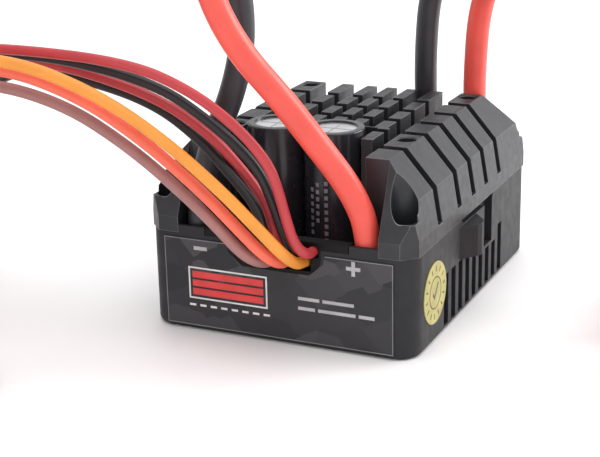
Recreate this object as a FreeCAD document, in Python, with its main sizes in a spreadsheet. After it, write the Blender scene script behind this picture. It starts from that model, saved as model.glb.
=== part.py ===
import FreeCAD, Part
import math
import os
import re

import Sketcher
from FreeCAD import Placement, Rotation, Vector

# Brushed electronic speed controller with its leads.
# Millimetres, +Z up. The origin is the centre of the tray's underside, the label
# faces -Y, the motor leads rise at the +Y end, and battery leads rise behind the label.

DIMENSIONS = [
    ("case_width", 36.4), ("case_depth", 46.5), ("seam_height", 13.0), ("wall", 1.6),
    ("floor_thickness", 1.4), ("corner_radius", 3.0), ("foot_radius", 0.8),
    ("cavity_corner_x", 12.9), ("cavity_corner_y", 17.2),
    ("notch_half_width", 6.1), ("notch_floor", 9.75), ("notch_radius", 1.8),
    ("tab_inner_x", 9.85), ("channel_half_width", 13.6), ("tab_thickness", 0.6),
    ("sink_base_top", 15.0), ("sink_top", 24.1), ("shoulder_half_width", 17.4),
    ("shoulder_height", 19.6), ("crown_half_width", 13.5),
    ("front_face_y", -19.1), ("rear_face_y", 16.3), ("corner_chamfer", 1.8),
    ("bore_opening", 3.1), ("bore_opening_floor", 17.2),
    ("flank_inner_x", 10.4), ("slot_width", 1.6), ("pit_back_y", -5.4),
    ("fin_width", 1.5), ("fin_pitch", 3.05), ("outer_fin_inner_x", 6.6),
    ("outer_fin_outer_x", 8.1), ("outer_fin_front_y", -11.3),
    ("screw_x", 16.0), ("screw_y", 20.6), ("screw_radius", 0.8),
    ("screw_clearance_radius", 1.05), ("screw_hole_floor", 4.0),
    ("counterbore_radius", 1.65), ("counterbore_floor", 14.4),
    ("screw_head_radius", 1.5), ("screw_head_height", 1.3), ("screw_tip", 5.0),
    ("fan_pitch", 24.0), ("fan_centre_y", 2.5), ("fan_hole_radius", 1.25),
    ("fan_hole_depth", 6.0), ("fan_hole_chamfer", 0.2),
    ("pedestal_half_width", 12.2), ("pedestal_front_y", -1.0),
    ("pedestal_back_y", 14.0), ("pedestal_bottom", 8.3),
    ("first_slot_y", -14.8), ("second_slot_y", -7.4), ("third_slot_y", -1.8),
    ("fourth_slot_y", 3.5), ("fifth_slot_y", 9.1),
    ("post_x", 10.0), ("post_y", 16.6), ("post_radius", 1.2),
    ("board_bottom", 3.4), ("board_thickness", 1.6), ("board_gap", 0.3),
    ("fet_height", 2.3), ("power_wire_diameter", 3.2), ("servo_wire_diameter", 1.5),
    ("thin_wire_diameter", 1.3), ("wire_start", 5.6),
    ("battery_x", 11.7), ("battery_y", -20.9), ("motor_black_x", 4.6),
    ("motor_red_x", 11.8), ("motor_y", 18.3), ("wire_bore_radius", 1.75),
    ("can_radius", 3.8), ("sleeve_radius", 3.95), ("can_left_x", -5.6), ("can_right_x", 2.35),
    ("can_y", -10.0), ("can_foot", 5.6), ("can_top", 24.75), ("sleeve_top", 25.0),
    ("lead_spacing", 3.5), ("lead_radius", 0.3),
    ("groove_depth", 0.6), ("groove_width", 1.6), ("groove_pitch", 2.76),
    ("groove_top", 7.7), ("groove_foot", 0.8),
    ("boss_reach", 2.0), ("boss_foot", 7.9), ("boss_top", 12.2), ("boss_y", -3.3),
    ("boss_half_length", 3.3), ("latch_slot_front_y", 3.5), ("latch_slot_back_y", 6.8),
    ("latch_slot_foot", 6.3), ("latch_slot_depth", 1.0),
    ("label_thickness", 0.15), ("label_half_width", 15.6), ("label_bottom", 0.7),
    ("label_top", 12.4), ("sticker_radius", 4.0), ("sticker_y", -16.0), ("sticker_z", 6.7),
    ("bar_top", 14.0), ("bar_depth", 1.6),
    ("lead_slot_left", -1.3), ("lead_slot_right", 4.75), ("lead_slot_foot", 10.1),
    ("upper_slot_right", 5.8), ("upper_slot_foot", 12.0), ("upper_slot_top", 13.5),
    ("slider_travel", 3.0),
]

doc = FreeCAD.newDocument("speed_controller")
sheet = doc.addObject("Spreadsheet::Sheet", "dims")
for row, (alias, number) in enumerate(DIMENSIONS, start=1):
    sheet.set("A%d" % row, alias)
    sheet.set("B%d" % row, str(number))
    sheet.setAlias("B%d" % row, alias)
doc.recompute()

NODES = {}


def full(formula):
    """A formula of aliases, spelled with the sheet's name before each alias."""
    return re.sub(r"[a-z][a-z_]+", lambda word: "dims." + word.group(0), str(formula))


def size(formula):
    """The value in millimetres of a formula of aliases."""
    return float(sheet.evalExpression(full(formula)))


def keep(piece, node):
    """Name an object as one of the kept nodes."""
    piece.Label = node
    NODES[node] = piece
    return piece


def bind(piece, **formulas):
    """Tie properties of an object to formulas; x, y and z stand for its place."""
    names = {"x": "Placement.Base.x", "y": "Placement.Base.y", "z": "Placement.Base.z"}
    for name, formula in formulas.items():
        piece.setExpression(names.get(name, name), full(formula))
    return piece


# ---- sketch and solid helpers ------------------------------------------------

def new_body(node):
    return keep(doc.addObject("PartDesign::Body", node), node)


def sketch(body, role, offset, outlines=(), circles=()):
    """A sketch on one of the body's origin planes, moved along the plane's normal."""
    drawing = body.newObject("Sketcher::SketchObject", body.Name + "_sketch")
    plane = next(item for item in body.Origin.OriginFeatures if item.Role == role)
    drawing.AttachmentSupport = [(plane, "")]
    drawing.MapMode = "FlatFace"
    drawing.AttachmentOffset = Placement(Vector(0, 0, size(offset)), Rotation())
    drawing.setExpression("AttachmentOffset.Base.z", full(offset))
    held = []
    joined = []
    for outline in outlines:
        first = drawing.GeometryCount
        spots = [Vector(size(x), size(y), 0) for x, y in outline]
        for start, end in zip(spots, spots[1:] + spots[:1]):
            drawing.addGeometry(Part.LineSegment(start, end))
        for place, (x, y) in enumerate(outline):
            here = first + place
            joined.append((here, first + (place + 1) % len(outline)))
            held += [("DistanceX", here, 1, x), ("DistanceY", here, 1, y)]
    for x, y, radius in circles:
        ring = Part.Circle(Vector(size(x), size(y), 0), Vector(0, 0, 1), size(radius))
        here = drawing.addGeometry(ring)
        held += [("DistanceX", here, 3, x), ("DistanceY", here, 3, y), ("Radius", here, 0, radius)]
    drawing.addConstraint([Sketcher.Constraint("Coincident", a, 2, b, 1) for a, b in joined])
    for kind, shape, point, formula in held:
        if kind == "Radius":
            rule = Sketcher.Constraint(kind, shape, size(formula))
        else:
            rule = Sketcher.Constraint(kind, -1, 1, shape, point, size(formula))
        place = drawing.addConstraint(rule)
        if re.search("[a-z]", str(formula)):
            drawing.setExpression("Constraints[%d]" % place, full(formula))
    return drawing


def pad(body, drawing, length, reverse=False, both_ways=False):
    feature = body.newObject("PartDesign::Pad", body.Name + "_pad")
    feature.Profile = drawing
    feature.setExpression("Length", full(length))
    feature.Reversed = reverse
    if both_ways:
        feature.SideType = "Symmetric"
    doc.recompute()
    return feature


def pocket(body, drawing, length, reverse=False, both_ways=False):
    """Cut a sketch away, and make sure that it took something off."""
    before = body.Shape.Volume
    feature = body.newObject("PartDesign::Pocket", body.Name + "_pocket")
    feature.Profile = drawing
    feature.setExpression("Length", full(length))
    feature.Reversed = reverse
    if both_ways:
        feature.SideType = "Symmetric"
    doc.recompute()
    if body.Shape.Volume > before - 1e-3:
        raise RuntimeError("%s cuts nothing" % feature.Name)
    return feature


def edges_where(shape, test):
    names = []
    for number, edge in enumerate(shape.Edges, start=1):
        if test(edge):
            names.append("Edge%d" % number)
    return names


def round_edges(body, radius, test, kind="Fillet"):
    base = body.Tip
    feature = body.newObject("PartDesign::" + kind, body.Name + "_" + kind.lower())
    feature.Base = (base, edges_where(base.Shape, test))
    feature.setExpression("Radius" if kind == "Fillet" else "Size", full(radius))
    doc.recompute()
    return feature


def is_upright(edge):
    if len(edge.Vertexes) != 2:
        return False
    start, end = [vertex.Point for vertex in edge.Vertexes]
    return abs(start.x - end.x) < 1e-6 and abs(start.y - end.y) < 1e-6


def is_level_at(edge, height):
    return all(abs(vertex.Point.z - height) < 1e-6 for vertex in edge.Vertexes)


def rectangle(x_low, x_high, y_low, y_high):
    return [(x_low, y_low), (x_high, y_low), (x_high, y_high), (x_low, y_high)]


def chamfered(half_x, half_y, corner_x, corner_y):
    """An eight-sided outline about the origin."""
    corners = [(half_x, corner_y), (corner_x, half_y)]
    outline = [(x, y) for x, y in corners]
    outline += [("-(%s)" % x, y) for x, y in reversed(corners)]
    outline += [("-(%s)" % x, "-(%s)" % y) for x, y in corners]
    outline += [(x, "-(%s)" % y) for x, y in reversed(corners)]
    return outline


def box(name, x, y, z, length, width, height):
    piece = doc.addObject("Part::Box", name)
    return bind(piece, x=x, y=y, z=z, Length=length, Width=width, Height=height)


def cylinder(name, x, y, z, radius, height, direction=Vector(0, 0, 1)):
    piece = doc.addObject("Part::Cylinder", name)
    piece.Placement = Placement(Vector(), Rotation(Vector(0, 0, 1), direction))
    return bind(piece, x=x, y=y, z=z, Radius=radius, Height=height)


def cut(name, base, tool):
    piece = doc.addObject("Part::Cut", name)
    piece.Base = base
    piece.Tool = tool
    return piece


def fuse(name, *pieces):
    piece = doc.addObject("Part::MultiFuse", name)
    piece.Shapes = list(pieces)
    return piece


def group(node, pieces):
    """Identical separate solids that share one node."""
    piece = doc.addObject("Part::Compound", node)
    piece.Links = pieces
    return keep(piece, node)


# ---- housing -----------------------------------------------------------------

def corner_signs():
    return [(x, y) for x in ("", "-") for y in ("", "-")]


def make_lower_case():
    """Plastic tray: ribbed sides, a lead notch in front, corner columns for the screws."""
    body = new_body("lower_case")
    half_x, half_y = "case_width / 2", "case_depth / 2"
    outline = rectangle("-" + half_x, half_x, "-" + half_y, half_y)
    pad(body, sketch(body, "XY_Plane", 0, [outline]), "seam_height")
    round_edges(body, "corner_radius", is_upright)
    round_edges(body, "foot_radius", lambda edge: is_level_at(edge, 0))
    for side in ("", "-"):
        profile = [(-1, -0.4), (-1, 0), (-0.65, 0.45), (-0.35, 0.85), (-0.1, 1),
                   (0.1, 1), (0.35, 0.85), (0.65, 0.45), (1, 0), (1, -0.4)]
        boss = [("%s(case_width / 2 + boss_reach * %s)" % (side, out),
                 "boss_y + boss_half_length * %s" % along) for along, out in profile]
        pad(body, sketch(body, "XY_Plane", "boss_foot", [boss]), "boss_top - boss_foot")
    tabs = [rectangle("tab_inner_x", "channel_half_width", "-case_depth / 2",
                      "tab_thickness - case_depth / 2"),
            rectangle("-channel_half_width", "-tab_inner_x", "-case_depth / 2",
                      "tab_thickness - case_depth / 2")]
    pad(body, sketch(body, "XY_Plane", "seam_height", tabs), "bar_top - seam_height")
    cavity = chamfered("case_width / 2 - wall", "case_depth / 2 - wall",
                       "cavity_corner_x", "cavity_corner_y")
    pocket(body, sketch(body, "XY_Plane", "seam_height", [cavity]), "seam_height - floor_thickness")
    bores = [(sign + "battery_x", "battery_y", "wire_bore_radius") for sign in ("", "-")]
    pocket(body, sketch(body, "XY_Plane", "bar_top", circles=bores),
           "bar_top - board_bottom - board_thickness")
    pilots = [(x + "screw_x", y + "screw_y", "screw_radius") for x, y in corner_signs()]
    pocket(body, sketch(body, "XY_Plane", "seam_height", circles=pilots),
           "seam_height - screw_hole_floor")
    notch = [("-notch_half_width", "seam_height + 1"), ("-notch_half_width", "notch_floor + notch_radius"),
             ("notch_radius * 0.3 - notch_half_width", "notch_floor + notch_radius * 0.3"),
             ("notch_radius - notch_half_width", "notch_floor"),
             ("notch_half_width - notch_radius", "notch_floor"),
             ("notch_half_width - notch_radius * 0.3", "notch_floor + notch_radius * 0.3"),
             ("notch_half_width", "notch_floor + notch_radius"), ("notch_half_width", "seam_height + 1")]
    pocket(body, sketch(body, "XZ_Plane", "case_depth / 2 + 1", [notch]), "wall + 1.5")
    grooves = []
    for step in range(9):
        middle = "groove_pitch * %s" % (step - 4.22)
        under_latch = size("latch_slot_front_y") - 1 < size(middle) < size("latch_slot_back_y") + 1
        grooves.append(rectangle("%s - groove_width / 2" % middle, "%s + groove_width / 2" % middle,
                                 "groove_foot", "latch_slot_foot - 0.4" if under_latch else "groove_top"))
    seam_gap = [("boss_y - 2.9", "seam_height + 0.1"), ("boss_y - 1.7", "boss_top + 0.1"),
                ("latch_slot_front_y", "boss_top"), ("latch_slot_front_y", "latch_slot_foot"),
                ("latch_slot_back_y", "latch_slot_foot"), ("latch_slot_back_y", "boss_top + 0.2"),
                ("latch_slot_back_y + 0.6", "seam_height + 0.1")]
    for reverse, side in ((False, ""), (True, "-")):
        drawing = sketch(body, "YZ_Plane", side + "(case_width / 2)", grooves)
        pocket(body, drawing, "groove_depth", reverse=reverse)
        drawing = sketch(body, "YZ_Plane", side + "(case_width / 2 + 3)", [seam_gap])
        pocket(body, drawing, "latch_slot_depth + 3", reverse=reverse)
    posts = [(x + "post_x", y + "post_y", "post_radius") for x, y in corner_signs()]
    pad(body, sketch(body, "XY_Plane", "floor_thickness", circles=posts),
        "board_bottom - floor_thickness")
    return body


def make_heat_sink():
    """Finned aluminium lid with four fan screw holes and a pit for the capacitors."""
    body = new_body("heat_sink")
    half_x, half_y = "case_width / 2", "case_depth / 2"
    section = [("-" + half_x, "seam_height"), (half_x, "seam_height"), (half_x, "sink_base_top"),
               ("shoulder_half_width", "shoulder_height"), ("crown_half_width", "sink_top"),
               ("-crown_half_width", "sink_top"), ("-shoulder_half_width", "shoulder_height"),
               ("-" + half_x, "sink_base_top")]
    pad(body, sketch(body, "XZ_Plane", 0, [section]), "case_depth", both_ways=True)
    above = "sink_top + 1"
    slopes = [[("front_face_y", "sink_top"), ("-" + half_y, "sink_base_top"),
               ("-case_depth / 2 - 2", "sink_base_top"), ("-case_depth / 2 - 2", above),
               ("front_face_y", above)],
              [("rear_face_y", "sink_top"), (half_y, "sink_base_top"),
               ("case_depth / 2 + 2", "sink_base_top"), ("case_depth / 2 + 2", above),
               ("rear_face_y", above)]]
    pocket(body, sketch(body, "YZ_Plane", 0, slopes), "case_width + 2", both_ways=True)
    pocket(body, sketch(body, "XY_Plane", above, corner_cuts("corner_chamfer")),
           "sink_top + 1 - seam_height + 1")
    pocket(body, sketch(body, "XY_Plane", above, corner_cuts("bore_opening")),
           "sink_top + 1 - bore_opening_floor")
    front = rectangle("-channel_half_width", "channel_half_width", "-case_depth / 2 - 1", "front_face_y")
    pocket(body, sketch(body, "XY_Plane", above, [front]), "sink_top - seam_height + 2")
    rear = rectangle("-channel_half_width", "channel_half_width", "rear_face_y", "case_depth / 2 + 1")
    pocket(body, sketch(body, "XY_Plane", above, [rear]), "sink_top - sink_base_top + 1")
    pit = [("-flank_inner_x", "front_face_y - 1"), ("flank_inner_x", "front_face_y - 1"),
           ("flank_inner_x", "outer_fin_front_y"), ("outer_fin_inner_x", "outer_fin_front_y"),
           ("outer_fin_inner_x", "pit_back_y"), ("-flank_inner_x", "pit_back_y")]
    pocket(body, sketch(body, "XY_Plane", above, [pit]), "sink_top - seam_height + 2")
    gaps = fin_gaps()
    pocket(body, sketch(body, "XY_Plane", above, gaps), "sink_top - sink_base_top + 1")
    pocket(body, sketch(body, "XY_Plane", above, cross_slots()), "sink_top - sink_base_top + 1")
    bores = [(x + "screw_x", y + "screw_y", "counterbore_radius") for x, y in corner_signs()]
    pocket(body, sketch(body, "XY_Plane", above, circles=bores), "sink_top + 1 - counterbore_floor")
    holes = [(x + "screw_x", y + "screw_y", "screw_clearance_radius") for x, y in corner_signs()]
    pocket(body, sketch(body, "XY_Plane", "sink_base_top", circles=holes), "sink_base_top - seam_height + 1")
    exits = [("motor_black_x", "motor_y", "wire_bore_radius"), ("motor_red_x", "motor_y", "wire_bore_radius")]
    pocket(body, sketch(body, "XY_Plane", "sink_base_top", circles=exits), "sink_base_top - seam_height + 1")
    pedestal = rectangle("-pedestal_half_width", "pedestal_half_width", "pedestal_front_y", "pedestal_back_y")
    pad(body, sketch(body, "XY_Plane", "seam_height", [pedestal]), "seam_height - pedestal_bottom",
        reverse=True)
    fan = [("fan_pitch / 2 * %d" % x, "fan_centre_y + fan_pitch / 2 * %d" % y, "fan_hole_radius")
           for x in (-1, 1) for y in (-1, 1)]
    pocket(body, sketch(body, "XY_Plane", "sink_top", circles=fan), "fan_hole_depth")

    def is_hole_mouth(edge):
        return is_level_at(edge, size("sink_top")) and len(edge.Vertexes) == 1

    round_edges(body, "fan_hole_chamfer", is_hole_mouth, kind="Chamfer")
    return body


def corner_cuts(leg):
    """Plan outlines that slant the lid's four upright corners off."""
    outlines = []
    for x, y in corner_signs():
        near_x, near_y = x + "(case_width / 2 - %s)" % leg, y + "(case_depth / 2 - %s)" % leg
        far_x, far_y = x + "(case_width / 2 + 0.5)", y + "(case_depth / 2 + 0.5)"
        outlines.append([(near_x, far_y), (near_x, y + "case_depth / 2"),
                         (x + "case_width / 2", near_y), (far_x, near_y), (far_x, far_y)])
    return outlines


def fin_gaps():
    """Plan rectangles of the open channels between the lengthwise fins."""
    back = "rear_face_y + 1"
    half = "fin_width / 2"
    gaps = []
    for sign in (1, -1):
        inner = ["%d * %s" % (sign, half), "%d * (fin_pitch - %s)" % (sign, half)]
        middle = ["%d * (fin_pitch + %s)" % (sign, half), "%d * (outer_fin_inner_x - 0.65)" % sign]
        outer = ["%d * (outer_fin_outer_x - 0.45)" % sign, "%d * flank_inner_x" % sign]
        for low, high in (inner, middle):
            gaps.append(rectangle(low, high, "pit_back_y + 0.1", back))
        gaps.append(rectangle(outer[0], outer[1], "pit_back_y + 0.1", back))
    gaps.append(rectangle("outer_fin_outer_x", "flank_inner_x", "outer_fin_front_y - 1",
                          "pit_back_y + 0.1"))
    return gaps


def cross_slots():
    """Plan rectangles of the air slots across the flanks and the fins."""
    reach = "case_width / 2 + 1"
    slots = []
    for sign in ("", "-"):
        for start in ("first_slot_y", "second_slot_y"):
            slots.append(rectangle(sign + "flank_inner_x", sign + "(%s)" % reach,
                                   start, "slot_width + " + start))
    for start in ("third_slot_y", "fourth_slot_y", "fifth_slot_y"):
        slots.append(rectangle("-(%s)" % reach, reach, start, "slot_width + " + start))
    slots.append(rectangle("outer_fin_inner_x - 1", "outer_fin_outer_x + 0.5",
                           "second_slot_y", "slot_width + second_slot_y"))
    return slots


def make_case_screws():
    """Four socket-head screws through the heat sink into the tray's columns."""
    screws = []
    for number, (x, y) in enumerate(corner_signs()):
        place = (x + "screw_x", y + "screw_y")
        head = cylinder("screw_head_%d" % number, *place, "counterbore_floor",
                        "screw_head_radius", "screw_head_height")
        shank = cylinder("screw_shank_%d" % number, *place, "screw_tip",
                         "screw_radius", "counterbore_floor - screw_tip")
        socket = doc.addObject("Part::Prism", "screw_socket_%d" % number)
        socket.Polygon = 6
        bind(socket, x=place[0], y=place[1], z="counterbore_floor + screw_head_height - 0.8",
             Circumradius="screw_radius", Height=1)
        whole = fuse("screw_blank_%d" % number, head, shank)
        screws.append(cut("screw_%d" % number, whole, socket))
    return group("case_screws", screws)


def make_wire_grommet():
    """Rubber-like clamp that fills the notch; the small leads leave through its stepped slot."""
    body = new_body("wire_grommet")
    front = "-case_depth / 2"
    rim = rectangle("0.08 - tab_inner_x", "tab_inner_x - 0.08", front, "bar_depth - case_depth / 2")
    pad(body, sketch(body, "XY_Plane", "seam_height", [rim]), "bar_top - seam_height")
    tongue = [("-notch_half_width", "seam_height"), ("-notch_half_width", "notch_floor + notch_radius"),
              ("notch_radius * 0.3 - notch_half_width", "notch_floor + notch_radius * 0.3"),
              ("notch_radius - notch_half_width", "notch_floor"),
              ("notch_half_width - notch_radius", "notch_floor"),
              ("notch_half_width - notch_radius * 0.3", "notch_floor + notch_radius * 0.3"),
              ("notch_half_width", "notch_floor + notch_radius"), ("notch_half_width", "seam_height")]
    pad(body, sketch(body, "XZ_Plane", "case_depth / 2", [tongue]), "wall", reverse=True)
    slot = [("lead_slot_left", "lead_slot_foot"), ("lead_slot_right", "lead_slot_foot"),
            ("lead_slot_right", "upper_slot_foot"), ("upper_slot_right", "upper_slot_foot"),
            ("upper_slot_right", "upper_slot_top"), ("lead_slot_left", "upper_slot_top")]
    pocket(body, sketch(body, "XZ_Plane", "case_depth / 2 + 1", [slot]), "wall + 2.5")
    return body


def make_front_label():
    body = new_body("front_label")
    left, right = "-label_half_width", "label_half_width"
    outline = [(left, "label_bottom"), (right, "label_bottom"), (right, "label_top"),
               ("notch_half_width + 0.5", "label_top"), ("notch_half_width + 0.4", "notch_floor + 1.6"),
               ("notch_half_width - 1.5", "notch_floor - 0.1"), ("1.5 - notch_half_width", "notch_floor - 0.1"),
               ("-0.4 - notch_half_width", "notch_floor + 1.6"), ("-0.5 - notch_half_width", "label_top"),
               (left, "label_top")]
    pad(body, sketch(body, "XZ_Plane", "case_depth / 2", [outline]), "label_thickness")
    return body


def make_inspection_sticker():
    piece = cylinder("inspection_sticker", "case_width / 2", "sticker_y", "sticker_z",
                     "sticker_radius", 0.12, Vector(1, 0, 0))
    return keep(piece, "inspection_sticker")


# ---- electronics -------------------------------------------------------------

def make_main_board():
    body = new_body("main_board")
    outline = chamfered("case_width / 2 - wall - board_gap", "case_depth / 2 - wall - board_gap",
                        "cavity_corner_x - board_gap", "cavity_corner_y - board_gap")
    pad(body, sketch(body, "XY_Plane", "board_bottom", [outline]), "board_thickness")
    holes = []
    for can in ("can_left_x", "can_right_x"):
        for sign in ("-", "+"):
            holes.append(("%s %s lead_spacing / 2" % (can, sign), "can_y", "lead_radius"))
    pocket(body, sketch(body, "XY_Plane", "board_bottom + board_thickness", circles=holes),
           "board_thickness + 1")
    return body


def row_of_boxes(node, spots, z, length, width, height):
    """Boxes centred in plan on the given spots."""
    boxes = []
    for number, (x, y) in enumerate(spots):
        boxes.append(box("%s_%d" % (node, number), "%s - %s" % (x, length / 2),
                         "%s - %s" % (y, width / 2), z, length, width, height))
    return group(node, boxes)


def make_electronics():
    board_top = "board_bottom + board_thickness"
    row_of_boxes("mosfets", [(x, y) for x in (-9, -3, 3, 9) for y in (2.5, 10)], board_top, 5, 6, "fet_height")
    pad_piece = box("thermal_pad", "-pedestal_half_width", "pedestal_front_y", board_top + " + fet_height",
                    "pedestal_half_width * 2", "pedestal_back_y - pedestal_front_y",
                    "pedestal_bottom - board_bottom - board_thickness - fet_height")
    keep(pad_piece, "thermal_pad")
    row_of_boxes("bec_regulators", [(-9.5, 18.6), (-2.5, 18.6)], board_top, 5, 4, 1.6)
    keep(box("microcontroller", -3.5, 0.5, "board_bottom - 1.2", 7, 7, 1.2), "microcontroller")
    chips = [(x, y) for x in (-14, 14) for y in (-14, -10.5, -7)]
    row_of_boxes("chip_capacitors", chips, board_top, 2, 1.25, 1.25)
    keep(box("status_led", 7.4, -18.9, board_top, 1.6, 0.8, 0.8), "status_led")
    spots = [("battery_x", "battery_y"), ("-battery_x", "battery_y"),
             ("motor_black_x", "motor_y"), ("motor_red_x", "motor_y")]
    joints = [cylinder("solder_%d" % number, x, y, board_top, 1.2,
                       "wire_start - board_bottom - board_thickness")
              for number, (x, y) in enumerate(spots)]
    group("solder_joints", joints)


def make_capacitor(side):
    """One radial can: aluminium cup, shrink sleeve turned over its rim, rubber bung."""
    x = "can_%s_x" % side
    cup = cylinder("cup_" + side, x, "can_y", "can_foot", "can_radius", "can_top - can_foot")
    keep(cup, "capacitor_can_" + side)
    outer = cylinder("sleeve_outer_" + side, x, "can_y", "can_foot", "sleeve_radius",
                     "sleeve_top - can_foot")
    bore = cylinder("sleeve_bore_" + side, x, "can_y", "can_foot", "can_radius", "can_top - can_foot")
    mouth = cylinder("sleeve_mouth_" + side, x, "can_y", "can_foot", "can_radius - 0.75",
                     "sleeve_top - can_foot + 1")
    hollow = fuse("sleeve_hollow_" + side, bore, mouth)
    shell = cut("sleeve_shell_" + side, outer, hollow)
    doc.recompute()
    rounded = doc.addObject("Part::Fillet", "sleeve_" + side)
    rounded.Base = shell
    top = size("sleeve_top")
    rim = []
    for number, edge in enumerate(shell.Shape.Edges, start=1):
        if is_level_at(edge, top) and edge.Curve.Radius > size("can_radius"):
            rim.append((number, 0.2, 0.2))
    rounded.Edges = rim
    keep(rounded, "capacitor_sleeve_" + side)
    bung = cylinder("bung_" + side, x, "can_y", "board_bottom + board_thickness", "can_radius - 0.6",
                    "can_foot - board_bottom - board_thickness")
    keep(bung, "capacitor_bung_" + side)


def make_capacitor_leads():
    leads = []
    for can in ("can_left_x", "can_right_x"):
        for sign in ("-", "+"):
            leads.append(cylinder("lead_%d" % len(leads), "%s %s lead_spacing / 2" % (can, sign), "can_y",
                                  "board_bottom - 0.5", "lead_radius", "board_thickness + 0.5"))
    return group("capacitor_leads", leads)


# ---- leads -------------------------------------------------------------------
# Each route is a list of points chosen by hand; the tube is its straight runs joined
# by tangent arcs.

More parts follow.
